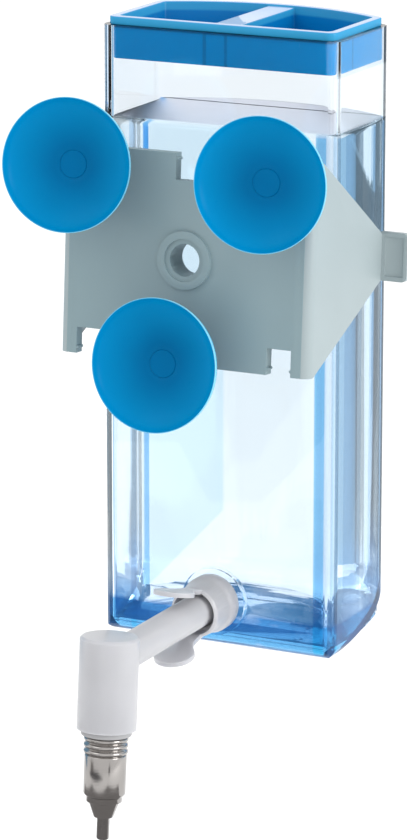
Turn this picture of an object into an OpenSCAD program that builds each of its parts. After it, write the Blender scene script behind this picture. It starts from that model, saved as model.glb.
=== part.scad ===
// Small-animal water bottle that hangs outside a cage or pane on a suction-cup bracket.
// Origin: centre of the bracket's mounting hole, on the front face of its plate.
// +X is to the right, -Y points at the cage, +Z is up. Units are millimetres.

/* [Tank] */
// Outside width of the tank
tank_w = 88; // [84:1:92]
// Depth of the tank's sides, without the bow of its back
tank_d = 41.4; // [38:0.2:44]
// Height of the tank
tank_h = 213.5; // [200:0.5:230]
// How far the middle of the back stands behind the sides
back_bow = 13; // [10:0.5:15]
// Wall thickness
tank_wall = 2.6; // [2:0.1:3]
// Radius of the upright corners
tank_r = 4; // [3.5:0.5:5]
// Height from the tank's underside to the hole of the bracket
tank_drop = 141; // [135:1:150]

/* [Lid] */
// Height of the rim that rests on the tank
lid_rim_h = 2.8; // [2.5:0.1:5]
// Depth of the skirt inside the tank
lid_skirt = 11.5; // [8:0.5:16]
// Wall thickness of the lid
lid_wall = 1.8; // [1.4:0.1:2.4]
// Width of the rib between the two trays
lid_rib_w = 10; // [6:1:14]

/* [Bracket] */
// Thickness of the plate
plate_t = 4; // [3:0.5:5]
// Height of the plate
plate_h = 71; // [70:1:80]
// Distance from the plate's front face to the tank
plate_gap = 24; // [22:0.5:27]
// Lean of the plate, its foot towards the cage
plate_lean = 4; // [0:0.5:5]
// Distance of the outer notches from the middle
notch_x = 35.5; // [34:0.5:36]
// Width of a notch
notch_w = 8.9; // [8.4:0.1:9.2]
// Radius of the mounting hole
hole_r = 5.5; // [5:0.1:6]
// Thickness of the side arms
arm_t = 2; // [1.6:0.1:2.4]
// Reach of a release tab beyond its arm
tab_w = 9.5; // [8:0.5:12]

/* [Suction cups] */
// Diameter of a cup
cup_d = 45; // [44:0.2:49]
// Distance from the plate's front face to the cup's lip
cup_reach = 21.7; // [18:0.1:24]
// Radius of the hub behind each cup's dome
cup_hub_r = 5.6; // [5.4:0.1:6]
// Height of the hub behind each cup's dome
cup_hub_back = 1.6; // [1.2:0.1:2]

/* [Spout] */
// Height of the feed tube's axis above the tank's underside
spout_z = 16.8; // [16:0.2:20]
// Outside radius of the feed tube
tube_r = 5.8; // [5.4:0.1:6.2]
// Distance from the tank's front to the elbow's axis
spout_reach = 80; // [76:1:84]
// Radius of the elbow
elbow_r = 9.9; // [9.5:0.1:10.5]
// Height of the elbow
elbow_h = 31.1; // [28:0.1:34]
// Lean of the elbow and the nozzle, the pin towards the cage
nozzle_lean = 5; // [0:0.5:6]

/* [Hidden] */
$fn = 64;
overlap = 0.5;

// Tank. Its own frame has the middle of the front face at Y 0 and the underside at Z 0.
mouth_r = tank_r - 1.5;
foot_front_r = 5;
foot_back_r = 14;
floor_rise = 6;
bow_r = (pow(tank_w / 2, 2) + pow(back_bow, 2)) / (2 * back_bow);
bow_y = tank_d + back_bow - bow_r;
boss_r = 11.8;
boss_h = 3;
neck_r = 8.2;
neck_end = -7.5;
outlet_r = 6.2;

// Lid, in the tank's frame
lid_inset = 1.7;
skirt_gap = 0.35;
skirt_inset = tank_wall + skirt_gap;
tray_floor = tank_h - lid_skirt;

// Bracket
arm_gap = 0.6;
arm_x = tank_w / 2 + arm_gap;
rim_t = 2.2;
skin_t = 2;
boss_front = 1.4;
boss_back = 9;
mount_boss_r = 9.8;
recess_r = 7.2;
recess_depth = 1;
notch_depth = 9;
notch_rim = 1.8;
bump_r = 0.6;
arm_tab_y = plate_gap + 32;
arm_back_z = [-9.4, 3.5];
arm_tab_top = 6.6;
fold_r = 3.5;
fold_gap = 0.33;
plate_half = arm_x + arm_t - fold_r - fold_gap;
hook_y = plate_gap + tank_d + 4;
hook_reach = 4.5;
tab_z = [-9.4, 7.4];
tab_t = 2.2;

// Suction cups, in the plate's leaning frame: X and Z of the neck, how far the soft cup tips down,
// and how far it turns to the right
cup_neck_r = 3.5;
upper_seat = 30.5;
lower_seat = 33;
cup_places = [
    [-notch_x, upper_seat, -4, 8],
    [notch_x, upper_seat, -1, 8],
    [0, -lower_seat, -3.6, 2]
];
cup_flange_r = 6.4;
flange_gap = 0.35;
flange_t = 1.6;
cup_shell = 1.6;
dome_depth = 9;

// Spout, in its own frame: origin on the feed tube's axis at the tank's front
collar_r = 10;
collar_front = 18;
collar_mouth_r = 6.3;
seal_t = 0.9;
tube_flange_r = 8.2;
tube_flange_t = 1.4;
tube_bore = 4.2;
tube_end = neck_end - seal_t;
wing_reach = 32.5;
wing_out = 11;
wing_root = 7.2;
wing_lobe = 7;
wing_t = 1.6;

// Elbow and nozzle, in a leaning frame: origin on the elbow's axis at the tube's height
elbow_top = 8.9;
elbow_bottom = elbow_top - elbow_h;
elbow_bore = 7.2;
elbow_roof = 2;
gasket_t = 2;
gasket_r = 8.4;
stud_r = 6.6;
thread_h = 6.4;
thread_r = 7.4;
thread_pitch = thread_h / 3;
nozzle_r = 7;
nozzle_h = 14.2;
nozzle_z = elbow_bottom - gasket_t - thread_h;
cone_z = nozzle_z - nozzle_h;
cone_h = 8;
pin_r = 2.1;
pin_tip = cone_z - cone_h - 7.2;
pin_bore = 2.5;
chamber_r = 5;
seat_t = 1.5;
spring_top = nozzle_z - 1.6;
spring_turns = 4;
spring_wire = 0.45;
spring_r = 3;

// Points of an arc about a centre, from one angle to another
function corner_arc(cx, cy, r, from, to, n = 8) =
    [for (i = [0:n]) let (a = from + (to - from) * i / n) [cx + r * cos(a), cy + r * sin(a)]];

// Outline of the tank seen from above, counter-clockwise, shrunk by an inset.
// The back is one arc, and its corner arcs touch it and the sides smoothly.
function plan_outline(inset, r) =
    let (
        half = tank_w / 2 - inset,
        back_r = bow_r - inset,
        corner_x = half - r,
        corner_y = bow_y + sqrt(pow(back_r - r, 2) - pow(corner_x, 2)),
        meet = atan2(corner_y - bow_y, corner_x)
    )
    concat(
        corner_arc(-corner_x, inset + r, r, 180, 270),
        corner_arc(corner_x, inset + r, r, 270, 360),
        corner_arc(corner_x, corner_y, r, 0, meet),
        corner_arc(0, bow_y, back_r, meet, 180 - meet, 24),
        corner_arc(-corner_x, corner_y, r, 180 - meet, 180)
    );

module plan_prism(inset, r, z0, z1) {
    translate([0, 0, z0])
        linear_extrude(z1 - z0)
            polygon(plan_outline(inset, r));
}

// Tank's side view, as Y and Z: the foot is rounded in front and rises towards the back
function side_outline(inset) =
    let (
        front = inset,
        back = tank_d + back_bow,
        r = foot_front_r - inset / 2,
        rise = floor_rise * back / (tank_d - foot_back_r)
    )
    concat(
        [[front, tank_h + 1], [front, inset + r]],
        corner_arc(front + r, inset + r, r, 180, 280),
        [[back, inset + rise], [back, tank_h + 1]]
    );

// The round foot of the bowed back, turned about the bow's own centre
module back_foot(inset) {
    r = foot_back_r - inset / 2;
    back = bow_r - inset;
    low = floor_rise + inset;
    translate([0, bow_y, 0])
        rotate_extrude($fn = 180)
            polygon(concat(
                [[0, -1], [back - r - 20, -1]],
                corner_arc(back - r, low + r, r, 290, 360, 12),
                [[back, tank_h + 1], [0, tank_h + 1]]
            ));
}

// Tank's front view, as X and Z: rounded feet left and right
function front_outline(inset) =
    let (half = tank_w / 2 - inset, r = foot_front_r - inset / 2)
    concat(
        [[-half, tank_h + 1], [-half, inset + r]],
        corner_arc(-half + r, inset + r, r, 180, 270),
        corner_arc(half - r, inset + r, r, 270, 360),
        [[half, tank_h + 1]]
    );

module tank_solid(inset, r, top) {
    intersection() {
        plan_prism(inset, r, -1, top);
        translate([-tank_w, 0, 0])
            rotate([90, 0, 90])
                linear_extrude(2 * tank_w)
                    polygon(side_outline(inset));
        translate([0, 2 * tank_d, 0])
            rotate([90, 0, 0])
                linear_extrude(3 * tank_d)
                    polygon(front_outline(inset));
        back_foot(inset);
    }
}

// A cylinder along Y between two places
module y_cylinder(r, y0, y1) {
    translate([0, y1, 0])
        rotate([90, 0, 0])
            cylinder(r = r, h = y1 - y0);
}

// Frames of the assemblies
module in_tank_frame() {
    translate([0, plate_gap, -tank_drop]) children();
}

module in_plate_frame() {
    rotate([-plate_lean, 0, 0]) children();
}

module in_spout_frame() {
    translate([0, plate_gap, spout_z - tank_drop]) children();
}

module in_nozzle_frame() {
    in_spout_frame()
        translate([0, -spout_reach, 0])
            rotate([-nozzle_lean, 0, 0])
                children();
}

module tank() {
    color("aliceblue", 0.4)
        in_tank_frame()
            difference() {
                union() {
                    tank_solid(0, tank_r, tank_h);
                    translate([0, 0, spout_z]) {
                        y_cylinder(boss_r, -boss_h, overlap);
                        y_cylinder(neck_r, neck_end, 0);
                    }
                }
                tank_solid(tank_wall, mouth_r, tank_h + 1);
                translate([0, 0, spout_z])
                    y_cylinder(outlet_r, neck_end - 1, tank_wall + 1);
            }
}

module lid() {
    rim_inset = lid_inset;
    tray_r = 1.6;
    inner = skirt_inset + lid_wall;
    color("dodgerblue")
        in_tank_frame()
            difference() {
                union() {
                    plan_prism(rim_inset, tank_r - 1, tank_h, tank_h + lid_rim_h);
                    plan_prism(skirt_inset, mouth_r - 0.3, tray_floor, tank_h + overlap);
                }
                difference() {
                    plan_prism(inner, tray_r, tray_floor + lid_wall, tank_h + lid_rim_h + 1);
                    translate([-lid_rib_w / 2, 0, 0])
                        cube([lid_rib_w, 2 * tank_d, tank_h + lid_rim_h - 0.8]);
                }
                intersection() {
                    plan_prism(inner, tray_r, tray_floor - 1, tank_h + lid_rim_h - 2 * lid_wall);
                    translate([-(lid_rib_w / 2 - lid_wall), 0, tray_floor - 2])
                        cube([lid_rib_w - 2 * lid_wall, 2 * tank_d, lid_skirt + lid_rim_h + 2]);
                }
            }
}

// An open notch in the plate's edge, its mouth up
module notch_cut() {
    translate([-notch_w / 2, -1, -notch_depth])
        cube([notch_w, plate_t + boss_back, notch_depth + 1]);
}

// The snap bumps on both sides of a notch's mouth
module notch_bumps() {
    for (side = [-1, 1])
        translate([side * notch_w / 2, 0, -2])
            y_cylinder(bump_r, 0.2, plate_t - 0.2);
}

// Rim round a notch: a wall as deep as the plate
module notch_rim_block() {
    translate([-notch_w / 2 - notch_rim, 0, -notch_depth - notch_rim])
        cube([notch_w + 2 * notch_rim, plate_t, notch_depth + notch_rim]);
}

// Repeats a notch feature at the three places of the top edge and of the foot
module at_notches() {
    for (x = [-notch_x, 0, notch_x]) {
        translate([x, 0, plate_h / 2]) children();
        mirror([0, 0, 1]) translate([x, 0, plate_h / 2]) children();
    }
}

module bracket_plate() {
    color("lightsteelblue")
        in_plate_frame()
            difference() {
                union() {
                    translate([-plate_half, 0, -plate_h / 2])
                        cube([2 * plate_half, skin_t, plate_h]);
                    for (z = [-plate_h / 2, plate_h / 2 - rim_t])
                        translate([-plate_half, 0, z])
                            cube([2 * plate_half, plate_t, rim_t]);
                    at_notches() notch_rim_block();
                    y_cylinder(mount_boss_r, -boss_front, boss_back);
                }
                difference() {
                    at_notches() notch_cut();
                    at_notches() notch_bumps();
                }
                y_cylinder(hole_r, -boss_front - 1, boss_back + 1);
                y_cylinder(recess_r, -boss_front - 1, recess_depth - boss_front);
            }
}

// Side view of an arm as Y and Z: full height at the plate, low beside the tank's back
arm_outline = [
    [fold_r, -plate_h / 2],
    [fold_r, plate_h / 2],
    [fold_r + 3, plate_h / 2],
    [arm_tab_y, arm_tab_top],
    [hook_y + arm_t, arm_back_z[1]],
    [hook_y + arm_t, arm_back_z[0]],
    [arm_tab_y, arm_back_z[0]]
];

// Right arm: fold at the plate, tapered side, hook behind the tank and release tab
module arm_right_shape() {
    in_plate_frame()
        union() {
            translate([arm_x, 0, 0])
                rotate([90, 0, 90])
                    linear_extrude(arm_t)
                        polygon(arm_outline);
            translate([arm_x + arm_t - fold_r, fold_r, -plate_h / 2])
                intersection() {
                    difference() {
                        cylinder(r = fold_r, h = plate_h);
                        translate([0, 0, -1])
                            cylinder(r = fold_r - arm_t, h = plate_h + 2);
                    }
                    translate([0, -fold_r, 0])
                        cube([fold_r, fold_r + 0.1, plate_h]);
                }
            translate([arm_x - hook_reach, hook_y, arm_back_z[0]])
                cube([hook_reach + arm_t, arm_t, arm_back_z[1] - arm_back_z[0]]);
            translate([arm_x + arm_t - overlap, arm_tab_y, tab_z[0]])
                tab_shape();
        }
}

// Release tab: a rounded plate with a slightly raised rim
module tab_shape() {
    tab_h = tab_z[1] - tab_z[0];
    corner = 2;
    rotate([90, 0, 0])
        translate([0, 0, -tab_t])
            difference() {
                linear_extrude(tab_t)
                    union() {
                        square([tab_w + overlap - corner, tab_h]);
                        translate([0, corner])
                            square([tab_w + overlap, tab_h - 2 * corner]);
                        for (z = [corner, tab_h - corner])
                            translate([tab_w + overlap - corner, z])
                                circle(r = corner, $fn = 32);
                    }
                translate([overlap + 1.2, 1.6, tab_t - 0.5])
                    cube([tab_w - 2.6, tab_h - 3.2, 1]);
            }
}

module clip_arm_right() {
    color("gainsboro")
        arm_right_shape();
}

module clip_arm_left() {
    color("gainsboro")
        mirror([1, 0, 0])
            arm_right_shape();
}

// Neck of a cup, as radius and distance in front of the plate: a flange on each side of the notch
module cup_neck_profile() {
    back = -plate_t - flange_gap;
    root = cup_reach - dome_depth;
    polygon([
        [0, back - flange_t], [cup_flange_r - 1, back - flange_t], [cup_flange_r, back],
        [cup_neck_r, back], [cup_neck_r, flange_gap], [cup_flange_r, flange_gap],
        [cup_flange_r, flange_gap + flange_t], [cup_neck_r + 0.6, root], [0, root]
    ]);
}

// Section of the cup itself, from its root at 0: a thin bowl whose lip is furthest from the plate
module cup_dome_profile() {
    steps = 12;
    root_r = cup_neck_r + 2;
    outer = [for (i = [0:steps]) let (a = 90 * i / steps)
        [root_r + (cup_d / 2 - root_r) * sin(a), dome_depth * (1 - cos(a))]];
    inner = [for (i = [steps:-1:1]) let (a = 90 * i / steps)
        [(cup_d / 2 - 0.5) * sin(a), cup_shell + (dome_depth - cup_shell) * (1 - cos(a))]];
    polygon(concat([[0, -cup_hub_back], [cup_hub_r, -cup_hub_back]], outer, inner, [[0, cup_shell]]));
}

module suction_cup(place) {
    root = cup_reach - dome_depth;
    color("deepskyblue")
        in_plate_frame()
            translate([place[0], 0, place[1]]) {
                rotate([90, 0, 0])
                    rotate_extrude()
                        cup_neck_profile();
                translate([0, -root, 0])
                    rotate([0, 0, place[3]])
                        rotate([90 + place[2], 0, 0])
                            rotate_extrude()
                                cup_dome_profile();
            }
}

module suction_cup_upper_left() {
    suction_cup(cup_places[0]);
}

module suction_cup_upper_right() {
    suction_cup(cup_places[1]);
}

module suction_cup_lower() {
    suction_cup(cup_places[2]);
}

// One thumb wing: a thin ear that leaves the collar beside the tube and flares out forward
module wing() {
    root_y = -collar_front + 3;
    slope = atan((wing_out - wing_root) / (wing_reach + root_y));
    length = (wing_reach + root_y) / cos(slope);
    translate([0, root_y, wing_root])
        rotate([-slope, 0, 0])
            translate([0, 0, -wing_t / 2])
                linear_extrude(wing_t)
                    union() {
                        translate([0, -length])
                            circle(r = wing_lobe, $fn = 48);
                        polygon([
                            [-3, 0], [3, 0], [3, -length / 2], [wing_lobe, -length],
                            [-wing_lobe, -length], [-3, -length / 2]
                        ]);
                    }
}

module wing_collar() {
    back = -boss_h - 0.15;
    color("whitesmoke")
        in_spout_frame()
            difference() {
                union() {
                    rotate([90, 0, 0])
                        rotate_extrude()
                            polygon([
                                [0, -back], [collar_r, -back], [collar_r, 7], [collar_r - 0.8, 9],
                                [8.8, collar_front - 1], [8, collar_front], [0, collar_front]
                            ]);
                    wing();
                    rotate([0, 180, 0]) wing();
                }
                y_cylinder(neck_r + 0.2, tube_end - tube_flange_t - 0.3, back + 1);
                y_cylinder(collar_mouth_r, -collar_front - 1, 0);
                y_cylinder(collar_mouth_r + 1.4, -collar_front - 1, -collar_front + 5);
            }
}

module spout_seal() {
    color("white")
        in_spout_frame()
            difference() {
                y_cylinder(neck_r - 0.2, tube_end + 0.05, neck_end - 0.05);
                y_cylinder(4.6, tube_end - 1, neck_end + 1);
            }
}

module feed_tube() {
    color("ghostwhite")
        in_spout_frame()
            difference() {
                union() {
                    y_cylinder(tube_r, -spout_reach + elbow_bore + 0.6, tube_end);
                    y_cylinder(tube_flange_r, tube_end - tube_flange_t, tube_end);
                }
                y_cylinder(tube_bore, -spout_reach, tube_end + 1);
            }
}

module elbow() {
    color("ghostwhite")
        difference() {
            in_nozzle_frame()
                difference() {
                    translate([0, 0, elbow_bottom])
                        rotate_extrude()
                            polygon([
                                [0, 0], [elbow_r, 0], [elbow_r, elbow_h - 0.8],
                                [elbow_r - 0.8, elbow_h], [0, elbow_h]
                            ]);
                    translate([0, 0, elbow_bottom - 1])
                        cylinder(r = stud_r + 0.05, h = 7);
                    translate([0, 0, elbow_bottom + 5])
                        cylinder(r = elbow_bore, h = elbow_h - 5 - elbow_roof);
                }
            in_spout_frame()
                y_cylinder(tube_r + 0.05, -spout_reach, 0);
        }
}

module valve_gasket() {
    color("whitesmoke")
        in_nozzle_frame()
            translate([0, 0, elbow_bottom - gasket_t])
                difference() {
                    cylinder(r = gasket_r, h = gasket_t - 0.05);
                    translate([0, 0, -1])
                        cylinder(r = stud_r + 0.05, h = gasket_t + 2);
                }
}

// Three rounded thread ridges below the gasket, as radius and height
function thread_profile() =
    [for (i = [0:2], p = [[thread_r, 0.35], [thread_r, 0.75], [thread_r - 0.9, 1]])
        [p[0], nozzle_z + thread_h - 0.05 - thread_pitch * (i + p[1])]];

module valve_body() {
    color("silver")
        in_nozzle_frame()
            difference() {
                rotate_extrude()
                    polygon(concat(
                        [[0, elbow_bottom + 4.5], [stud_r, elbow_bottom + 4.5],
                         [stud_r, nozzle_z + thread_h - 0.05]],
                        thread_profile(),
                        [[nozzle_r, nozzle_z - 0.2], [nozzle_r, cone_z + 0.8], [nozzle_r - 0.7, cone_z],
                         [6, cone_z - 0.2], [6, cone_z - 2], [5.1, cone_z - 2.2],
                         [3, cone_z - cone_h], [0, cone_z - cone_h]]
                    ));
                translate([0, 0, cone_z - cone_h - 1])
                    cylinder(r = pin_bore, h = 20);
                translate([0, 0, cone_z - cone_h - 1])
                    cylinder(r1 = pin_bore + 1.1, r2 = pin_bore, h = 4);
                translate([0, 0, cone_z])
                    cylinder(r = chamber_r, h = 60);
            }
}

module valve_seat() {
    color("dimgray")
        in_nozzle_frame()
            translate([0, 0, cone_z + 0.05])
                difference() {
                    cylinder(r = chamber_r - 0.05, h = seat_t);
                    translate([0, 0, -1])
                        cylinder(r = pin_bore + 0.1, h = seat_t + 2);
                }
}

module valve_pin() {
    head_z = cone_z + seat_t + 0.1;
    color("lightgray")
        in_nozzle_frame()
            rotate_extrude()
                polygon([
                    [0, pin_tip], [pin_r - 0.6, pin_tip], [pin_r, pin_tip + 0.6], [pin_r, head_z],
                    [4.4, head_z], [4.4, head_z + 1], [1.6, head_z + 1.6], [1.6, head_z + 5],
                    [0, head_z + 5]
                ]);
}

// Compression spring: rings joined by the turn's rise, between the pin's head and the retainer
module valve_spring() {
    bottom = cone_z + seat_t + 1.75 + spring_wire;
    pitch = (spring_top - spring_wire - 0.1 - bottom) / spring_turns;
    steps = 12;
    sides = 6;
    rings = spring_turns * steps;
    points = [for (i = [0:rings], j = [0:sides - 1])
        let (a = 360 * i / steps, b = 360 * j / sides, r = spring_r + spring_wire * cos(b))
        [r * cos(a), r * sin(a), bottom + pitch * i / steps + spring_wire * sin(b)]];
    walls = [for (i = [0:rings - 1], j = [0:sides - 1])
        let (k = (j + 1) % sides)
        [i * sides + j, i * sides + k, (i + 1) * sides + k, (i + 1) * sides + j]];
    color("lightslategray")
        in_nozzle_frame()
            polyhedron(
                points,
                concat(walls, [[for (j = [sides - 1:-1:0]) j]], [[for (j = [0:sides - 1]) rings * sides + j]])
            );
}

module spring_retainer() {
    color("silver")
        in_nozzle_frame()
            translate([0, 0, spring_top])
                difference() {
                    cylinder(r = chamber_r - 0.05, h = 1.2);
                    for (a = [0:60:300])
                        rotate(a)
                            translate([3.2, 0, -1])
                                cylinder(r = 0.9, h = 4, $fn = 24);
                }
}

tank();
lid();
bracket_plate();
clip_arm_left();
clip_arm_right();
suction_cup_upper_left();
suction_cup_upper_right();
suction_cup_lower();
wing_collar();
spout_seal();
feed_tube();
elbow();
valve_gasket();
valve_body();
valve_seat();
valve_pin();
valve_spring();
spring_retainer();
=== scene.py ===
"""Looks of the hanging water bottle: finishes, dressed pieces, studio and camera, all in the part's frame."""
import logging
import math
from dataclasses import dataclass, field
from enum import Enum
from typing import Any

import bpy
from mathutils import Matrix, Vector


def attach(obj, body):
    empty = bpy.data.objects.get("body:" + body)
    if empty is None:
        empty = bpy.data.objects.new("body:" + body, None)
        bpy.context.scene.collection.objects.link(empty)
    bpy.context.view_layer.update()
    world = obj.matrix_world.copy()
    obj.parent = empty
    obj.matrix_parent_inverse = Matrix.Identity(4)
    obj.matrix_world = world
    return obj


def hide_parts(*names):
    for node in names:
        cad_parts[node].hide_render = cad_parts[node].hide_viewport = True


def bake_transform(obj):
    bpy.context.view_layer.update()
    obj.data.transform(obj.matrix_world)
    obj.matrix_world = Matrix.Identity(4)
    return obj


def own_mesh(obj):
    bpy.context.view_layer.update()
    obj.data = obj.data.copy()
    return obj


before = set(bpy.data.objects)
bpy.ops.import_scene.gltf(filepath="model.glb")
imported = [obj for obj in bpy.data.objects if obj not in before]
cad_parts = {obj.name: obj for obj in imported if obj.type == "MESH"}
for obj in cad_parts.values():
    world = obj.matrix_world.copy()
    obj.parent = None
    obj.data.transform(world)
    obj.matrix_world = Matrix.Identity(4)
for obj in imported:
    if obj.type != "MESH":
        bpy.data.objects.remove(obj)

LOG = logging.getLogger("bottle")
MM = 0.001
SHARP = 35.0
Colour = tuple[float, float, float]
Profile = list[tuple[float, float]]
Span = tuple[float, float]


class Body(str, Enum):
    """Moving bodies that the pieces ride."""

    BRACKET = "bracket"
    CLIP_LEFT = "clip_left"
    CLIP_RIGHT = "clip_right"
    CUP_UPPER_LEFT = "cup_upper_left"
    CUP_UPPER_RIGHT = "cup_upper_right"
    CUP_LOWER = "cup_lower"
    BOTTLE = "bottle"
    LID = "lid"
    COLLAR = "collar"
    SPOUT = "spout"
    PIN = "pin"


class Slot(str, Enum):
    """Material slots of the record."""

    CLEAR = "clear_plastic"
    BLUE = "blue_plastic"
    GREY = "grey_plastic"
    VINYL = "blue_vinyl"
    MILKY = "milky_plastic"
    SEAL = "white_seal"
    STEEL = "steel"
    BRIGHT = "bright_steel"
    DARK = "dark_seal"


class Wire:
    """A shader socket that takes part in sums like a number."""

    def __init__(self, tree: bpy.types.NodeTree, socket: bpy.types.NodeSocket) -> None:
        """Wraps a socket of a tree."""
        self.tree = tree
        self.socket = socket

    def _math(self, kind: str, first: Any, second: Any = 0.0) -> "Wire":
        """Adds one Math node.

        Args:
            kind: operation of the Math node.
            first: its first value, a wire or a number.
            second: its second value, a wire or a number.

        Returns:
            The node's result.
        """
        made = self.tree.nodes.new("ShaderNodeMath")
        made.operation = kind
        for place, value in enumerate((first, second)):
            if isinstance(value, Wire):
                self.tree.links.new(value.socket, made.inputs[place])
            else:
                made.inputs[place].default_value = value
        return Wire(self.tree, made.outputs[0])

    def __add__(self, other: Any) -> "Wire":
        """Sum."""
        return self._math("ADD", self, other)

    __radd__ = __add__

    def __sub__(self, other: Any) -> "Wire":
        """Difference."""
        return self._math("SUBTRACT", self, other)

    def __mul__(self, other: Any) -> "Wire":
        """Product."""
        return self._math("MULTIPLY", self, other)

    def __truediv__(self, other: Any) -> "Wire":
        """Quotient."""
        return self._math("DIVIDE", self, other)

    def clipped(self) -> "Wire":
        """The value kept between 0 and 1."""
        low = self._math("MAXIMUM", self, 0.0)
        return self._math("MINIMUM", low, 1.0)

    def band(self, start: float, end: float, soft: float = 0.0004) -> "Wire":
        """1 between start and end, with soft shoulders, and 0 outside."""
        return self.ramp(start - soft, start) * self.ramp(end + soft, end)

    def ramp(self, start: float, end: float) -> "Wire":
        """0 at start and 1 at end, straight between them and level outside.

        Args:
            start: value that gives 0.
            end: value that gives 1.

        Returns:
            The ramp's value.
        """
        return ((self - start) / (end - start)).clipped()


class Sheet:
    """A material under construction."""

    def __init__(self, name: str) -> None:
        """Starts an empty node tree with a Principled node and an output."""
        self.material = bpy.data.materials.new(name)
        self.material.use_nodes = True
        self.tree = self.material.node_tree
        self.tree.nodes.clear()
        self.output = self.tree.nodes.new("ShaderNodeOutputMaterial")
        self.skin = self.tree.nodes.new("ShaderNodeBsdfPrincipled")
        self.tree.links.new(self.skin.outputs[0], self.output.inputs[0])

    def _feed(self, socket: bpy.types.NodeSocket, value: Any) -> None:
        """Links a wire to a socket, or sets a constant on it."""
        if isinstance(value, Wire):
            self.tree.links.new(value.socket, socket)
        elif isinstance(value, tuple) and len(value) == 3 and socket.type == "RGBA":
            socket.default_value = (*value, 1.0)
        else:
            socket.default_value = value

    def node(
        self,
        kind: str,
        settings: dict[str, Any] | None = None,
        values: dict[str | int, Any] | None = None,
        out: str | int = 0,
    ) -> Wire:
        """Adds a node.

        Args:
            kind: node type.
            settings: properties of the node.
            values: wires or constants for its inputs, by name or place.
            out: the output wanted.

        Returns:
            That output.
        """
        made = self.tree.nodes.new(kind)
        for key, value in (settings or {}).items():
            setattr(made, key, value)
        for key, value in (values or {}).items():
            self._feed(made.inputs[key], value)
        return Wire(self.tree, made.outputs[out])

    def set(self, **values: Any) -> None:
        """Sets inputs of the Principled node; an underscore stands for a space."""
        for key, value in values.items():
            self._feed(self.skin.inputs[key.replace("_", " ")], value)

    def place(self) -> Wire:
        """Object coordinates."""
        return self.node("ShaderNodeTexCoord", out="Object")

    def axis(self, place: Wire, name: str) -> Wire:
        """One of X, Y and Z of a vector."""
        return self.node("ShaderNodeSeparateXYZ", values={0: place}, out=name)

    def stretched(self, place: Wire, scale: tuple[float, float, float]) -> Wire:
        """A vector scaled by one factor an axis."""
        return self.node(
            "ShaderNodeVectorMath", {"operation": "MULTIPLY"}, {0: place, 1: scale}
        )

    def noise(self, place: Wire, scale: float, detail: float = 2.0) -> Wire:
        """Noise between 0 and 1 with a mean near one half."""
        return self.node(
            "ShaderNodeTexNoise", None, {"Vector": place, "Scale": scale, "Detail": detail}
        )

    def mix(self, factor: Any, first: Any, second: Any) -> Wire:
        """Mixes two colours.

        Args:
            factor: 0 for the first and 1 for the second.
            first: a colour or a wire.
            second: a colour or a wire.

        Returns:
            The mixed colour.
        """
        return self.node(
            "ShaderNodeMix", {"data_type": "RGBA"}, {0: factor, 6: first, 7: second}, 2
        )

    def bump(self, height: Wire, depth: float, strength: float = 0.3) -> None:
        """Bends the normal by a height map whose full range is the depth in metres."""
        normal = self.node(
            "ShaderNodeBump", None, {"Strength": strength, "Distance": depth, "Height": height}
        )
        self.set(Normal=normal)


@dataclass(frozen=True)
class Finish:
    """A finish with one base colour, slight mottling and a fine grain."""

    name: str
    base: Colour
    roughness: float = 0.4
    grain: float = 900.0
    grain_depth: float = 0.00004
    mottle: float = 0.06

    def dress(self, sheet: Sheet) -> None:
        """Fills in the sheet with the common look."""
        place = sheet.place()
        broad = sheet.noise(place, 35.0)
        fine = sheet.noise(place, self.grain, 3.0)
        darker = tuple(c * (1 - 2 * self.mottle) for c in self.base)
        sheet.set(Base_Color=sheet.mix(broad, darker, self.base))
        sheet.set(Roughness=self.roughness + (fine - 0.5) * 0.12)
        sheet.bump(fine, self.grain_depth)

    def material(self) -> bpy.types.Material:
        """The finish's material, made once."""
        if self.name in bpy.data.materials:
            return bpy.data.materials[self.name]
        sheet = Sheet(self.name)
        self.dress(sheet)
        return sheet.material


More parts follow.
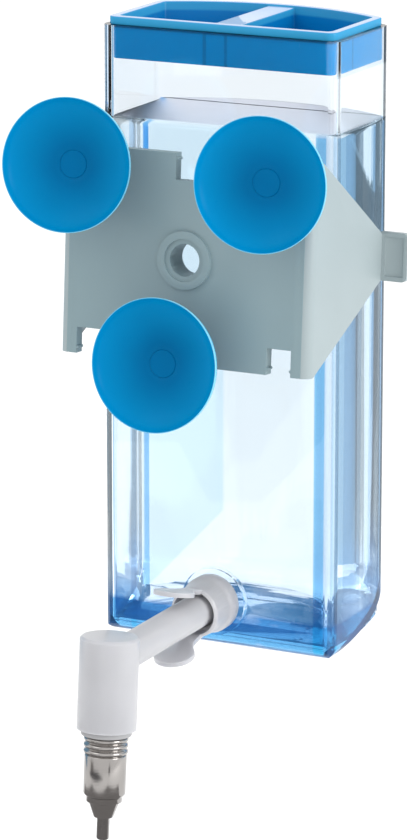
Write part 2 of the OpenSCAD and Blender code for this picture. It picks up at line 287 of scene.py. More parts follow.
@dataclass(frozen=True)
class ClearFinish(Finish):
    """Clear moulded plastic, wavy by a few hundredths of a millimetre."""

    ior: float = 1.49
    ripple: float = 0.00003
    # pale, deep, navy, steel and the foot's blue are painted reflection colours, and the glow colours a
    # painted glow.
    pale: Colour = (0.72, 0.88, 0.97)
    deep: Colour = (0.10, 0.38, 0.72)
    navy: Colour = (0.05, 0.12, 0.22)
    steel: Colour = (0.30, 0.48, 0.70)
    foot_reflection: Colour = (0.0, 0.20, 0.51)
    glow: Colour = (0.004, 0.03, 0.07)
    left_glow: Colour = (0.16, 0.19, 0.21)
    right_glow: Colour = (0.03, 0.065, 0.095)
    upper_glow: Colour = (0.17, 0.18, 0.185)
    tint: Colour = (0.1, 0.5, 0.95)
    density: float = 7.0
    foot: float = -0.141
    brim: float = 0.041
    brim_soft: float = 0.001
    lid_foot: float = 0.060
    front_face: Span = (0.0275, 0.0255)
    right_face: Span = (0.0425, 0.0432)
    upright_streak_scale: tuple[float, float, float] = (1.0, 1.0, 0.02)
    foot_ripple_scale: tuple[float, float, float] = (1.0, 1.0, 3.0)
    slant: float = 1.06
    slant_drop: float = 0.0945
    slant_soft: Span = (0.0006, -0.0006)
    pale_left: Span = (-0.0290, -0.0285)
    pale_right: Span = (0.0026, 0.0020)
    inner_streak: Span = (-0.0330, -0.0312)
    outer_streak: Span = (-0.0395, -0.0388)
    deep_band: Span = (0.0367, 0.0402)
    beside_band: Span = (0.0406, 0.0428)
    corner_band: Span = (0.0428, 0.0434)
    corner_line: Span = (0.0262, 0.0275)
    side_front: Span = (0.0320, 0.0455)
    side_middle: Span = (0.0525, 0.0565)
    side_back: Span = (0.0605, 0.0650)
    foot_reflection_top: Span = (0.0135, 0.0120)
    foot_reflection_share: float = 0.97
    left_wall: Span = (-0.0284, -0.0292)
    glow_heights: Span = (0.03, 0.01)
    foot_heights: Span = (0.012, 0.020)

    def _painted_reflections(self, sheet: Sheet, place: Wire) -> Wire:
        """Painted reflections: blue, pale and navy bands painted on the filled walls at the foot, along the
        uprights and on the left.

        Args:
            sheet: the material under construction.
            place: object coordinates.

        Returns:
            The colour of the clear body, with its painted reflections.
        """
        x, y, z = (sheet.axis(place, name) for name in "XYZ")
        front = y.ramp(*self.front_face)
        wet = z.ramp(self.brim + self.brim_soft, self.brim - self.brim_soft)
        streak = sheet.noise(sheet.stretched(place, self.upright_streak_scale), 260.0, 2.0)
        # Painted reflection: a pale slanting zone on the front, below the waterline.
        slope = x * self.slant - self.slant_drop - z
        zone = x.ramp(*self.pale_left) * x.ramp(*self.pale_right) * slope.ramp(*self.slant_soft)
        colour = sheet.mix(zone * front * wet, self.base, self.pale)
        # Painted reflections: blue streaks near the left upright.
        left = x.band(*self.inner_streak) + x.band(*self.outer_streak) * streak
        colour = sheet.mix(left * front * wet, colour, self.steel)
        # Painted reflections: deep blue and blue bands near the right upright.
        colour = sheet.mix(x.band(*self.deep_band) * front * wet, colour, self.deep)
        beside = x.band(*self.beside_band) * 0.5 + x.band(*self.corner_band)
        colour = sheet.mix(beside * front * wet, colour, self.steel)
        # Painted reflections: upright blue bands on the right face and a navy line down its front corner.
        right = x.ramp(*self.right_face) * wet
        side = y.band(*self.side_front) + y.band(*self.side_middle) * 0.8 + y.band(*self.side_back)
        colour = sheet.mix(side * right * (streak * 0.6 + 0.5).clipped(), colour, self.steel)
        colour = sheet.mix(y.band(*self.corner_line) * right, colour, self.navy)
        # Painted reflection: a rippled blue band along the foot of the front and right faces.
        ripple = sheet.noise(sheet.stretched(place, self.foot_ripple_scale), 45.0, 2.0)
        top, full = self.foot_reflection_top
        foot = z.ramp(self.foot + top, self.foot + full) * ripple.ramp(0.1, 0.4)
        return sheet.mix(foot * (front + right).clipped() * self.foot_reflection_share, colour, self.foot_reflection)

    def _sheen(self, sheet: Sheet, place: Wire) -> Wire:
        """Faint glow on the walls' edges, which few bounces of light would leave dark.

        Args:
            sheet: the material under construction.
            place: object coordinates.

        Returns:
            The glow's colour.
        """
        x, y, z = (sheet.axis(place, name) for name in "XYZ")
        wet = z.ramp(self.brim + self.brim_soft, self.brim - self.brim_soft)
        low, high = (self.foot + height for height in self.foot_heights)
        above = z.ramp(low, high)
        none, full = (self.foot + height for height in self.glow_heights)
        colour = sheet.mix(z.ramp(none, full), (0.0, 0.0, 0.0), self.glow)
        left = x.ramp(*self.left_wall) * y.ramp(*self.front_face) * wet * above
        colour = sheet.mix(left, colour, self.left_glow)
        right = x.ramp(*self.right_face) * above
        colour = sheet.mix(right * wet, colour, self.right_glow)
        dry = z.band(self.brim + self.brim_soft, self.lid_foot)
        return sheet.mix(right * dry, colour, self.upper_glow)

    def dress(self, sheet: Sheet) -> None:
        """Clear body with slow ripples."""
        place = sheet.place()
        wave = sheet.noise(sheet.stretched(place, (1.0, 1.0, 0.15)), 60.0, 1.0)
        haze = sheet.noise(place, 200.0)
        # Painted light: the base colour carries the painted reflections and the emission a painted glow.
        sheet.set(Base_Color=self._painted_reflections(sheet, place), IOR=self.ior, Transmission_Weight=1.0)
        sheet.set(Emission_Color=self._sheen(sheet, place), Emission_Strength=1.0)
        sheet.set(Specular_IOR_Level=0.25)
        body = sheet.node(
            "ShaderNodeVolumeAbsorption", None, {"Color": self.tint, "Density": self.density}
        )
        sheet.tree.links.new(body.socket, sheet.output.inputs["Volume"])
        sheet.set(Roughness=self.roughness + haze * 0.01)
        sheet.bump(wave, self.ripple, 0.5)


@dataclass(frozen=True)
class WaterFinish(Finish):
    """Clear water that takes away a little red over its depth."""

    tint: Colour = (0.3, 0.75, 0.98)
    density: float = 2.5
    surface_reflection: Colour = (0.80, 0.78, 0.88)
    brim: float = 0.0414

    def dress(self, sheet: Sheet) -> None:
        """Clear body, a hazy top surface with a painted lilac reflection, and plain absorption."""
        place = sheet.place()
        flat = sheet.axis(sheet.node("ShaderNodeNewGeometry", out="Normal"), "Z")
        # Painted reflection: the flat top surface is painted lilac.
        top = flat.ramp(0.9, 0.98) * sheet.axis(place, "Z").ramp(self.brim - 0.0008, self.brim - 0.0004)
        sheet.set(Base_Color=sheet.mix(top, self.base, self.surface_reflection), IOR=1.33)
        sheet.set(Roughness=top * 0.75 + self.roughness, Transmission_Weight=1.0)
        body = sheet.node(
            "ShaderNodeVolumeAbsorption", None, {"Color": self.tint, "Density": self.density}
        )
        sheet.tree.links.new(body.socket, sheet.output.inputs["Volume"])


@dataclass(frozen=True)
class LidFinish(Finish):
    """Glossy blue plastic whose rim and rib tops carry a clear coat and a painted pale highlight."""

    # pale, rim and skirt are painted light colours on the one blue plastic.
    pale: Colour = (0.34, 0.50, 0.76)
    rim: Colour = (0.06, 0.45, 0.66)
    skirt: Colour = (0.0, 0.40, 0.92)
    pale_from: float = 0.0
    coat: float = 0.5

    def dress(self, sheet: Sheet) -> None:
        """Blue body, a painted pale highlight on the tops and the rim, and a painted lighter skirt."""
        place = sheet.place()
        height = sheet.axis(place, "Z")
        flat = sheet.axis(sheet.node("ShaderNodeNewGeometry", out="Normal"), "Z")
        # Painted highlight: flat tops at the lid's top height are painted pale.
        top = height.ramp(self.pale_from - 0.0013, self.pale_from - 0.0010) * flat.ramp(0.75, 0.95)
        broad = sheet.noise(place, 40.0)
        darker = tuple(c * 0.85 for c in self.base)
        body = sheet.mix(broad, darker, self.base)
        x, y = (sheet.axis(place, name) for name in "XY")
        # Painted light: the skirt behind the front and right walls is painted a lighter blue, with darker
        # upright lines on it.
        front, side = y.ramp(0.0282, 0.0275), x.ramp(0.0400, 0.0405)
        below = height.ramp(self.pale_from - 0.0034, self.pale_from - 0.0040)
        skirt_lines = (x.band(-0.0062, -0.0053) + x.band(0.0018, 0.0025)) * front
        skirt_lines = skirt_lines + y.band(0.0390, 0.0396) * side
        skirt = sheet.mix(skirt_lines.clipped() * 0.5, self.skirt, self.base)
        body = sheet.mix((front + side).clipped() * below, body, skirt)
        # Painted highlight: the rim's upper sides are painted a lighter blue.
        rim = height.ramp(self.pale_from - 0.0034, self.pale_from - 0.0026) * flat.ramp(0.8, 0.6)
        body = sheet.mix(rim * 0.45, body, self.rim)
        sheet.set(Base_Color=sheet.mix(top, body, self.pale), Coat_Weight=top * self.coat)
        sheet.set(Specular_IOR_Level=0.2)
        fine = sheet.noise(place, 800.0)
        sheet.set(Roughness=self.roughness + fine * 0.06)
        sheet.bump(fine, 0.00002)


@dataclass(frozen=True)
class VinylFinish(Finish):
    """Soft translucent vinyl, painted brighter towards the thin lip, with a painted pale highlight on its
    edge.
    """

    # lip and edge are painted light colours.
    lip: Colour = (0.0, 0.33, 0.66)
    edge: Colour = (0.25, 0.62, 0.78)

    def dress(self, sheet: Sheet) -> None:
        """Deep middle, painted brighter lip and painted pale highlight on the edge, by the piece's reach
        attribute.
        """
        place = sheet.place()
        reach = sheet.node("ShaderNodeAttribute", {"attribute_name": "reach"}, out="Fac")
        cloud = sheet.noise(place, 45.0)
        deep = tuple(c * 0.72 for c in self.base)
        body = sheet.mix(cloud, deep, self.base)
        # Painted light: the lip is painted brighter and the very edge a pale highlight.
        body = sheet.mix(reach.ramp(0.3, 1.1) * 0.6, body, self.lip)
        body = sheet.mix(reach.ramp(0.985, 1.0), body, self.edge)
        sheet.set(Base_Color=body, Specular_IOR_Level=0.03)
        sheet.set(Subsurface_Weight=0.1, Subsurface_Radius=(0.05, 0.6, 1.0), Subsurface_Scale=0.003)
        fine = sheet.noise(place, 700.0)
        sheet.set(Roughness=self.roughness + fine * 0.08)
        sheet.bump(fine, 0.00002)


@dataclass(frozen=True)
class MilkyFinish(Finish):
    """Natural polyethylene that light soaks into."""

    soak: float = 0.6

    def dress(self, sheet: Sheet) -> None:
        """Soft white body."""
        place = sheet.place()
        cloud = sheet.noise(place, 90.0)
        darker = tuple(c * 0.93 for c in self.base)
        sheet.set(Base_Color=sheet.mix(cloud, darker, self.base))
        sheet.set(Subsurface_Weight=self.soak, Subsurface_Radius=(1.0, 1.0, 1.1))
        sheet.set(Subsurface_Scale=0.003, Coat_Weight=0.25)
        fine = sheet.noise(place, 600.0)
        sheet.set(Roughness=self.roughness + fine * 0.1)
        sheet.bump(fine, 0.00004)


@dataclass(frozen=True)
class TurnedFinish(Finish):
    """Turned steel with fine lines round its axis."""

    def dress(self, sheet: Sheet) -> None:
        """Metal with lathe lines."""
        place = sheet.place()
        lines = sheet.noise(sheet.stretched(place, (40.0, 40.0, 2600.0)), 1.0, 3.0)
        cloud = sheet.noise(place, 120.0)
        darker = tuple(c * 0.8 for c in self.base)
        sheet.set(Base_Color=sheet.mix(cloud, darker, self.base), Metallic=1.0)
        sheet.set(Roughness=self.roughness + lines * 0.12)
        sheet.bump(lines, 0.00003)


class Bench:
    """Modelling steps on meshes whose objects stay at the origin."""

    @staticmethod
    def only(obj: bpy.types.Object) -> bpy.types.Object:
        """Selects one object, alone and active."""
        bpy.ops.object.select_all(action="DESELECT")
        obj.select_set(True)
        bpy.context.view_layer.objects.active = obj
        return obj

    @staticmethod
    def baked(obj: bpy.types.Object, pose: Matrix | None = None) -> bpy.types.Object:
        """Moves the object's placement, after an optional further one, into its mesh.

        Args:
            obj: the object.
            pose: a placement to add.

        Returns:
            The object, at the origin.
        """
        Bench.only(obj)
        if pose is not None:
            obj.matrix_world = pose @ obj.matrix_world
        bpy.ops.object.transform_apply(location=True, rotation=True, scale=True)
        return obj

    @staticmethod
    def box(name: str, low: Vector, high: Vector) -> bpy.types.Object:
        """A box between two corners."""
        bpy.ops.object.select_all(action="DESELECT")
        size = Vector(high) - Vector(low)
        bpy.ops.mesh.primitive_cube_add(size=1, location=(Vector(high) + Vector(low)) / 2, scale=size)
        made = bpy.context.object
        made.name = name
        return Bench.baked(made)

    @staticmethod
    def rod(name: str, radius: float, length: float, pose: Matrix, sides: int = 64) -> bpy.types.Object:
        """A rod from the origin of a placement along its Z axis."""
        bpy.ops.object.select_all(action="DESELECT")
        bpy.ops.mesh.primitive_cylinder_add(vertices=sides, radius=radius, depth=length)
        made = bpy.context.object
        made.name = name
        return Bench.baked(made, pose @ Matrix.Translation((0, 0, length / 2)))

    @staticmethod
    def turned(name: str, profile: Profile, pose: Matrix, sides: int = 96) -> bpy.types.Object:
        """A turned shape: a disc extruded and resized from station to station.

        Args:
            name: name of the piece.
            profile: (radius, height) of each station in millimetres.
            pose: where the axis goes.
            sides: facets round the axis.

        Returns:
            The piece.
        """
        bpy.ops.object.select_all(action="DESELECT")
        radius, height = profile[0]
        bpy.ops.mesh.primitive_circle_add(vertices=sides, radius=radius * MM, fill_type="NGON")
        made = bpy.context.object
        made.name = name
        bpy.ops.object.mode_set(mode="EDIT")
        bpy.ops.mesh.select_all(action="SELECT")
        bpy.ops.transform.translate(value=(0, 0, height * MM))
        for next_radius, next_height in profile[1:]:
            step = {"value": (0, 0, (next_height - height) * MM)}
            bpy.ops.mesh.extrude_region_move(TRANSFORM_OT_translate=step)
            ratio = next_radius / radius
            bpy.ops.transform.resize(value=(ratio, ratio, 1))
            radius, height = next_radius, next_height
        bpy.ops.mesh.select_all(action="SELECT")
        bpy.ops.mesh.remove_doubles(threshold=1e-6)
        bpy.ops.mesh.normals_make_consistent(inside=False)
        bpy.ops.object.mode_set(mode="OBJECT")
        return Bench.baked(made, pose)

    @staticmethod
    def met(target: bpy.types.Object, tool: bpy.types.Object) -> bpy.types.Object:
        """Keeps what a target and a tool share, and discards the tool."""
        Bench.only(target)
        step = target.modifiers.new("met", "BOOLEAN")
        step.operation = "INTERSECT"
        step.object = tool
        step.solver = "EXACT"
        bpy.ops.object.modifier_apply(modifier=step.name)
        bpy.data.objects.remove(tool, do_unlink=True)
        return target

    @staticmethod
    def joined(first: bpy.types.Object, *others: bpy.types.Object) -> bpy.types.Object:
        """Joins objects into the first."""
        Bench.only(first)
        for other in others:
            other.select_set(True)
        bpy.ops.object.join()
        return first

    @staticmethod
    def bevelled(obj: bpy.types.Object, width: float, segments: int = 3) -> bpy.types.Object:
        """Rounds every edge sharper than 35 degrees.

        Args:
            obj: the piece.
            width: width in millimetres.
            segments: facets over the rounding.

        Returns:
            The piece.
        """
        Bench.only(obj)
        step = obj.modifiers.new("round", "BEVEL")
        step.width = width * MM
        step.segments = segments
        step.limit_method = "ANGLE"
        step.angle_limit = math.radians(SHARP)
        bpy.ops.object.modifier_apply(modifier=step.name)
        return obj

    @staticmethod
    def clean(obj: bpy.types.Object, flatten: bool = False) -> bpy.types.Object:
        """Merges doubles, joins flat faces if wanted, and turns normals outward."""
        Bench.only(obj)
        bpy.ops.object.mode_set(mode="EDIT")
        bpy.ops.mesh.select_all(action="SELECT")
        bpy.ops.mesh.remove_doubles(threshold=2e-6)
        if flatten:
            bpy.ops.mesh.dissolve_limited(angle_limit=math.radians(0.6))
        bpy.ops.mesh.normals_make_consistent(inside=False)
        bpy.ops.object.mode_set(mode="OBJECT")
        return obj

    @staticmethod
    def copied(node: str, name: str) -> bpy.types.Object:
        """A merged copy of a frame node, to round and dress."""
        made = bpy.data.objects.new(name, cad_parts[node].data.copy())
        bpy.context.scene.collection.objects.link(made)
        Bench.only(made)
        bpy.ops.mesh.customdata_custom_splitnormals_clear()
        made.data.materials.clear()
        return Bench.clean(made, flatten=True)

    @staticmethod
    def placed(
        obj: bpy.types.Object,
        finish: Finish,
        body: Body,
        slot: Slot,
        stands_for: tuple[str, ...] = (),
        angle: float = SHARP,
        rides: bool = True,
    ) -> bpy.types.Object:
        """Shades and dresses a finished piece, hangs it on its body and hides the frame nodes it replaces.

        Args:
            obj: the piece.
            finish: its finish.
            body: the body it rides.
            slot: its material slot; not used.
            stands_for: frame nodes it replaces.
            angle: edges sharper than this stay crisp.
            rides: False for a piece that is left off the bodies.

        Returns:
            The piece.
        """
        Bench.only(obj)
        bpy.ops.object.shade_smooth_by_angle(angle=math.radians(angle))
        obj.data.materials.clear()
        obj.data.materials.append(finish.material())
        if rides:
            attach(obj, body.value)
        if stands_for:
            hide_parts(*stands_for)
        LOG.info("%s: %d faces, rides %s", obj.name, len(obj.data.polygons), body.value)
        return obj


def turned_about(axis: str, degrees: float) -> Matrix:
    """A turn about X, Y or Z."""
    return Matrix.Rotation(math.radians(degrees), 4, axis)


def moved(x: float, y: float, z: float) -> Matrix:
    """A shift in millimetres."""
    return Matrix.Translation(Vector((x, y, z)) * MM)


# GREY and the plate's grey are one plastic; the plate's copy is painted darker than the arms', as painted
# shade.
GREY = Finish("satin_grey", (0.33, 0.395, 0.41), 0.42)
SHADED_PLATE_GREY = Finish("satin_grey_plate_painted_shade", (0.24, 0.334, 0.36), 0.42)
CLEAR = ClearFinish("clear_styrene", (0.96, 0.985, 1.0), 0.015)
WATER = WaterFinish("water", (1.0, 1.0, 1.0), 0.0)
VINYL = VinylFinish("soft_vinyl", (0.0, 0.145, 0.35), 0.25)
MILKY = MilkyFinish("natural_polyethylene", (0.47, 0.473, 0.495), 0.3)
SEAL = Finish("seal_white", (0.38, 0.38, 0.39), 0.55)
DARK = Finish("seal_dark", (0.03, 0.03, 0.03), 0.6)
STEEL = TurnedFinish("turned_steel", (0.42, 0.40, 0.385), 0.08)
BRIGHT = TurnedFinish("polished_steel", (0.36, 0.345, 0.335), 0.1)


@dataclass
class Tank:
    """The clear tank and the water in it, in millimetres from the tank's front foot."""

    width: float = 88.0
    depth: float = 41.4
    bow: float = 13.0
    wall: float = 2.6
    front: float = 24.0
    foot: float = -141.0
    water_top: float = 182.4
    floor_rise: float = 6.0
    front_r: float = 5.0
    back_r: float = 14.0

    def shell(self) -> bpy.types.Object:
        """The moulded shell."""
        made = Bench.copied("tank", "tank_shell")
        return Bench.placed(made, CLEAR, Body.BOTTLE, Slot.CLEAR, ("tank",), 28.0)

    def water(self) -> bpy.types.Object:
        """The water, which reaches half way into the walls so that no air film is left between them."""
        inset = self.wall / 2
        half = self.width / 2 - inset
        pose = moved(0, self.front, self.foot)
        low = Vector((-half, inset, 0)) * MM
        high = Vector((half, self.depth + self.bow, self.water_top)) * MM
        made = Bench.box("water_fill", low, high)
        bow_r = ((self.width / 2) ** 2 + self.bow**2) / (2 * self.bow)
        centre = self.depth + self.bow - bow_r
        drum = Bench.rod("bow", (bow_r - inset) * MM, 0.3, moved(0, centre, -20), 384)
        Bench.met(made, drum)
        self._round_uprights(made, 2.7)
        self._cut_floor(made, inset)
        Bench.baked(made, pose)
        Bench.clean(made)
        return Bench.placed(made, WATER, Body.BOTTLE, Slot.CLEAR, (), 28.0)

    def _round_uprights(self, made: bpy.types.Object, radius: float) -> None:
        """Rounds the four upright corners."""
        Bench.clean(made, flatten=True)
        bpy.ops.object.mode_set(mode="EDIT")
        bpy.ops.mesh.select_all(action="DESELECT")
        bpy.ops.object.mode_set(mode="OBJECT")
        spots = made.data.vertices
        corner = self.width / 2 * MM - self.wall / 2 * MM - 0.0002
        for edge in made.data.edges:
            first, last = (spots[i].co for i in edge.vertices)
            upright = abs(first.z - last.z) > 0.05
            edge.select = upright and abs(first.x) > corner
        bpy.ops.object.mode_set(mode="EDIT")
        bpy.ops.mesh.select_mode(type="EDGE")
        bpy.ops.mesh.bevel(offset=radius * MM, segments=6, affect="EDGES")
        bpy.ops.object.mode_set(mode="OBJECT")

    def _cut_floor(self, made: bpy.types.Object, inset: float) -> None:
        """Slopes the floor up to the back and rounds its front and back by slices."""
        rise = math.atan2(self.floor_rise, self.depth + self.bow)
        reach = self.depth + self.bow
        cuts: list[tuple[Vector, Vector]] = [
            (Vector((0, 0, inset)), Vector((0, -math.sin(rise), math.cos(rise))))
        ]
        for radius, y, side in ((self.front_r, 0.0, 1.0), (self.back_r, reach, -1.0)):
            base = self.floor_rise * y / reach
            hub = Vector((0, y + side * radius, base + radius))
            for step in range(1, 7):
                angle = math.radians(90 * step / 7)
                way = Vector((0, -side * math.sin(angle), -math.cos(angle)))
                cuts.append((hub + way * (radius - inset), -way))
        Bench.only(made)
        bpy.ops.object.mode_set(mode="EDIT")
        for spot, normal in cuts:
            bpy.ops.mesh.select_all(action="SELECT")
            bpy.ops.mesh.bisect(plane_co=spot * MM, plane_no=normal, use_fill=True, clear_inner=True)
        bpy.ops.object.mode_set(mode="OBJECT")

    def build(self) -> None:
        """Builds both pieces."""
        self.shell()
        self.water()


@dataclass
class Lid:
    """The push-in lid with two trays."""

    top: float = 75.3
    edge: float = 0.45

    def build(self) -> None:
        """Builds the lid."""
        finish = LidFinish("lid_blue", (0.0, 0.19, 0.50), 0.22, pale_from=self.top * MM)
        made = Bench.bevelled(Bench.copied("lid", "lid_cap"), self.edge)
        Bench.placed(made, finish, Body.LID, Slot.BLUE, ("lid",))


@dataclass
class Bracket:
    """The bracket's plate, its two clip arms and the thin webs that join them."""

    edge: float = 0.4
    half: float = 42.77
    gap: float = 0.33
    lap: float = 0.55
    proud: float = -0.02
    skin: float = 1.9
    tall: float = 35.3
    web_edge: float = 0.03
    lean: float = 4.0
    bend_depth: float = 1.0
    bend_end: float = 1.2

    def build(self) -> None:
        """Builds the plate and both arms."""
        plate = Bench.bevelled(Bench.copied("bracket_plate", "plate"), self.edge)
        # The plate takes the copy of the grey that is painted darker as shade.
        Bench.placed(plate, SHADED_PLATE_GREY, Body.BRACKET, Slot.GREY, ("bracket_plate",))
        for side, body in (("left", Body.CLIP_LEFT), ("right", Body.CLIP_RIGHT)):
            arm = Bench.bevelled(Bench.copied(f"clip_arm_{side}", f"arm_{side}"), self.edge)
            Bench.placed(arm, GREY, body, Slot.GREY, (f"clip_arm_{side}",))
            self._fold(side)

    def _fold(self, side: str) -> None:
        """Builds the thin web where the plate turns into an arm."""
        sign = -1 if side == "left" else 1
        spans = sorted((sign * (self.half - self.lap), sign * (self.half + self.gap + self.lap)))
        low = Vector((spans[0], self.proud, -self.tall)) * MM
        high = Vector((spans[1], self.skin, self.tall)) * MM
        web = Bench.bevelled(Bench.box(f"fold_{side}", low, high), self.web_edge, 1)
        Bench.baked(web, turned_about("X", -self.lean))
        # The web takes the plate's grey, painted darker as shade.
        Bench.placed(web, SHADED_PLATE_GREY, Body.BRACKET, Slot.GREY, rides=False)
        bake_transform(web)


@dataclass
class SuctionCup:
    """One soft cup, in the plate's frame: its neck sits square in the notch, and its bowl tips down."""

    node: str
    body: Body
    x: float
    z: float
    tip: float
    yaw: float
    radius: float = 22.5
    reach: float = 21.7
    depth: float = 9.0
    shell: float = 1.6
    lean: float = 4.0
    root: float = 5.5
    steps: int = 14

    def _bowl(self) -> Profile:
        """Stations of the bowl, from its hub out over the lip and back inside."""
        angles = [math.pi / 2 * i / self.steps for i in range(self.steps + 1)]
        out = [
            (self.root + (self.radius - self.root) * math.sin(a), self.depth * (1 - math.cos(a)))
            for a in angles
        ]
        inner = [
            ((self.radius - 0.5) * math.sin(a), self.shell + (self.depth - self.shell) * (1 - math.cos(a)))
            for a in reversed(angles[1:])
        ]
        lip = [(self.radius, self.depth + 0.1), (self.radius - 0.2, self.depth + 0.3)]
        disc = [(4.7, self.shell + 0.05), (4.5, self.shell + 0.3), (0.4, self.shell + 0.3)]
        hub = [(5.0, -1.6), (5.6, -1.1), (5.55, -0.1)]
        return hub + out[:-1] + lip + inner[1:-1] + disc

    def build(self) -> None:
        """Builds the cup."""
        pose = turned_about("X", -self.lean) @ moved(self.x, 0, self.z)
        root = pose @ moved(0, self.depth - self.reach, 0)
        tipped = root @ turned_about("Z", self.yaw) @ turned_about("X", 90 + self.tip)
        bowl = Bench.turned(f"{self.node}_soft", self._bowl(), tipped, 128)
        marks = bowl.data.attributes.new("reach", "FLOAT", "POINT")
        back = tipped.inverted()
        for spot, mark in zip(bowl.data.vertices, marks.data):
            local = back @ spot.co
            mark.value = min(1.0, Vector((local.x, local.y)).length / (self.radius * MM))
        stem: Profile = [
            (5.4, -5.95), (6.4, -5.2), (6.4, -4.35), (3.5, -4.35), (3.5, 0.35),
            (6.4, 0.35), (6.4, 1.4), (5.9, 1.95), (4.9, 5.0), (4.3, 12.4),
        ]
        neck = Bench.turned("neck", stem, pose @ turned_about("X", 90), 64)
        made = Bench.joined(bowl, neck)
        Bench.placed(made, VINYL, self.body, Slot.VINYL, (self.node,), 40.0)


@dataclass
class Spout:
    """Wing collar, tube, elbow and the steel valve with its pin, in the spout's frame."""

    front: float = 24.0
    height: float = -124.2
    reach: float = 80.0
    lean: float = 5.0
    spring_top: float = -32.2
    push: float = 1.5
    spring_spare: float = 0.3
    edge: float = 0.3
    wing_edge: float = 0.35

    def collar(self) -> bpy.types.Object:
        """The collar with its two wings."""
        made = Bench.bevelled(Bench.copied("wing_collar", "collar_winged"), self.wing_edge, 2)
        return Bench.placed(made, MILKY, Body.COLLAR, Slot.MILKY, ("wing_collar",), 40.0)

    def build(self) -> None:
        """Builds the collar and dresses the rest."""
        self.collar()
        for node, finish, body, slot in (
            ("feed_tube", MILKY, Body.SPOUT, Slot.MILKY),
            ("elbow", MILKY, Body.SPOUT, Slot.MILKY),
            ("valve_gasket", SEAL, Body.SPOUT, Slot.SEAL),
            ("spout_seal", SEAL, Body.SPOUT, Slot.SEAL),
            ("valve_body", STEEL, Body.SPOUT, Slot.STEEL),
            ("valve_seat", DARK, Body.SPOUT, Slot.DARK),
            ("valve_pin", BRIGHT, Body.PIN, Slot.BRIGHT),
        ):
            made = Bench.bevelled(Bench.copied(node, f"{node}_round"), self.edge, 2)
            Bench.placed(made, finish, body, slot, (node,), 40.0)
        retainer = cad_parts["spring_retainer"].data
        retainer.materials.clear()
        retainer.materials.append(BRIGHT.material())
        self.spring()

    def spring(self) -> bpy.types.Object:
        """The spring, dressed, on a mesh of its own."""
        coil = Bench.copied("valve_spring", "spring_coil")
        Bench.placed(coil, BRIGHT, Body.SPOUT, Slot.BRIGHT, ("valve_spring",), 40.0)
        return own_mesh(coil)


@dataclass
class Card:
    """A plain glowing card beside the object, seen only in its refractions and gloss."""

    name: str
    centre: tuple[float, float, float]
    size: tuple[float, float]
    turn: tuple[float, float]
    colour: Colour
    strength: float

    def build(self) -> bpy.types.Object:
        """Builds the card: its width and height, then a tilt about X and a turn about Z."""
        bpy.ops.object.select_all(action="DESELECT")
        bpy.ops.mesh.primitive_plane_add(size=1)
        made = bpy.context.object
        made.name = self.name
        grown = Matrix.Diagonal((self.size[0], self.size[1], 1.0, 1.0))
        turn = turned_about("Z", self.turn[1]) @ turned_about("X", self.turn[0])
        Bench.baked(made, Matrix.Translation(self.centre) @ turn @ grown)
        sheet = Sheet(self.name)
        glow = sheet.node(
            "ShaderNodeEmission", None, {"Color": self.colour, "Strength": self.strength}
        )
        sheet.tree.links.new(glow.socket, sheet.output.inputs[0])
        made.data.materials.append(sheet.material)
        made.visible_camera = False
        made.visible_shadow = False
        made.visible_diffuse = False
        return made


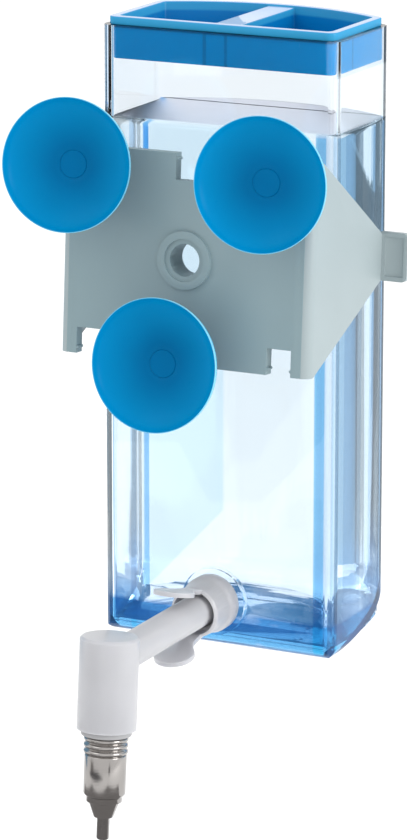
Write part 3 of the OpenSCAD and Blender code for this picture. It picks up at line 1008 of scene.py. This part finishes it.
@dataclass
class Studio:
    """Pale floor, soft light and the camera."""

    floor: float = -0.245
    target: tuple[float, float, float] = (-0.00506, 0.024, -0.06096)
    eye: tuple[float, float, float] = (0.6206, -1.2359, 0.3001)
    lens: float = 182.3
    cards: list[Card] = field(default_factory=list)

    def _floor(self) -> None:
        """A wide plain floor."""
        bpy.ops.object.select_all(action="DESELECT")
        bpy.ops.mesh.primitive_plane_add(size=12, location=(0, 0, self.floor))
        made = Bench.baked(bpy.context.object)
        made.name = "floor"
        paper = Finish("paper", (0.97, 0.97, 0.97), 0.9, 300.0, 0.00001, 0.0)
        made.data.materials.append(paper.material())

    def _light(self, name: str, place: Vector, size: float, power: float) -> None:
        """A square soft light that looks at the object."""
        lamp = bpy.data.lights.new(name, "AREA")
        lamp.shape = "SQUARE"
        lamp.size = size
        lamp.energy = power
        made = bpy.data.objects.new(name, lamp)
        made.location = place
        made.rotation_euler = (Vector(self.target) - place).to_track_quat("-Z", "Y").to_euler()
        bpy.context.scene.collection.objects.link(made)

    def _world(self, strength: float) -> None:
        """An even white surround."""
        world = bpy.data.worlds.new("surround")
        world.use_nodes = True
        back = world.node_tree.nodes["Background"]
        back.inputs["Color"].default_value = (1.0, 1.0, 1.0, 1.0)
        back.inputs["Strength"].default_value = strength
        bpy.context.scene.world = world

    def _camera(self) -> None:
        """The camera."""
        camera = bpy.data.cameras.new("camera")
        camera.lens = self.lens
        camera.sensor_width = 36.0
        camera.clip_start = 0.05
        made = bpy.data.objects.new("camera", camera)
        made.location = self.eye
        way = Vector(self.target) - Vector(self.eye)
        made.rotation_euler = way.to_track_quat("-Z", "Y").to_euler()
        bpy.context.scene.collection.objects.link(made)
        bpy.context.scene.camera = made

    def build(self) -> None:
        """Builds the stage."""
        self._floor()
        self._world(1.12)
        self._light("key", Vector((-0.7, -0.9, 1.1)), 0.8, 2.5)
        self._light("side", Vector((1.2, -0.1, 0.35)), 0.6, 7.0)
        for card in self.cards:
            card.build()
        bpy.context.scene.view_settings.view_transform = "Standard"
        self._camera()


CARDS = [
    Card("card_left", (-0.55, 0.15, -0.05), (0.5, 0.6), (90, 90), (0.30, 0.52, 0.72), 1.0),
    Card("card_right", (0.7, 0.9, -0.05), (0.9, 0.7), (90, -35), (0.62, 0.80, 0.95), 0.95),
    Card("dark_left", (-0.75, -0.75, -0.25), (0.35, 0.26), (90, -45), (0.42, 0.41, 0.40), 1.0),
    Card("dark_right", (0.84, -0.78, -0.25), (0.16, 0.26), (90, 47), (0.10, 0.10, 0.10), 1.0),
    Card("dark_under", (0.0, -0.14, -0.238), (0.45, 0.30), (0, 0), (0.34, 0.33, 0.33), 1.0),
    Card("dark_foot", (-0.50, -1.16, -0.24), (0.9, 1.48), (0, -26), (0.08, 0.08, 0.09), 1.0),
]


def main() -> None:
    """Builds the pieces in order, then the studio."""
    logging.basicConfig(level=logging.INFO, format="%(name)s: %(message)s")
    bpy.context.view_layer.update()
    Tank().build()
    Lid().build()
    Bracket().build()
    for node, body, x, z, tip, yaw in (
        ("suction_cup_upper_left", Body.CUP_UPPER_LEFT, -35.5, 30.5, -4.0, 8.0),
        ("suction_cup_upper_right", Body.CUP_UPPER_RIGHT, 35.5, 30.5, -1.0, 8.0),
        ("suction_cup_lower", Body.CUP_LOWER, 0.0, -33.0, -3.6, 2.0),
    ):
        SuctionCup(node, body, x, z, tip, yaw).build()
    Spout().build()
    Studio(cards=CARDS).build()


if __name__ == "__main__":
    main()
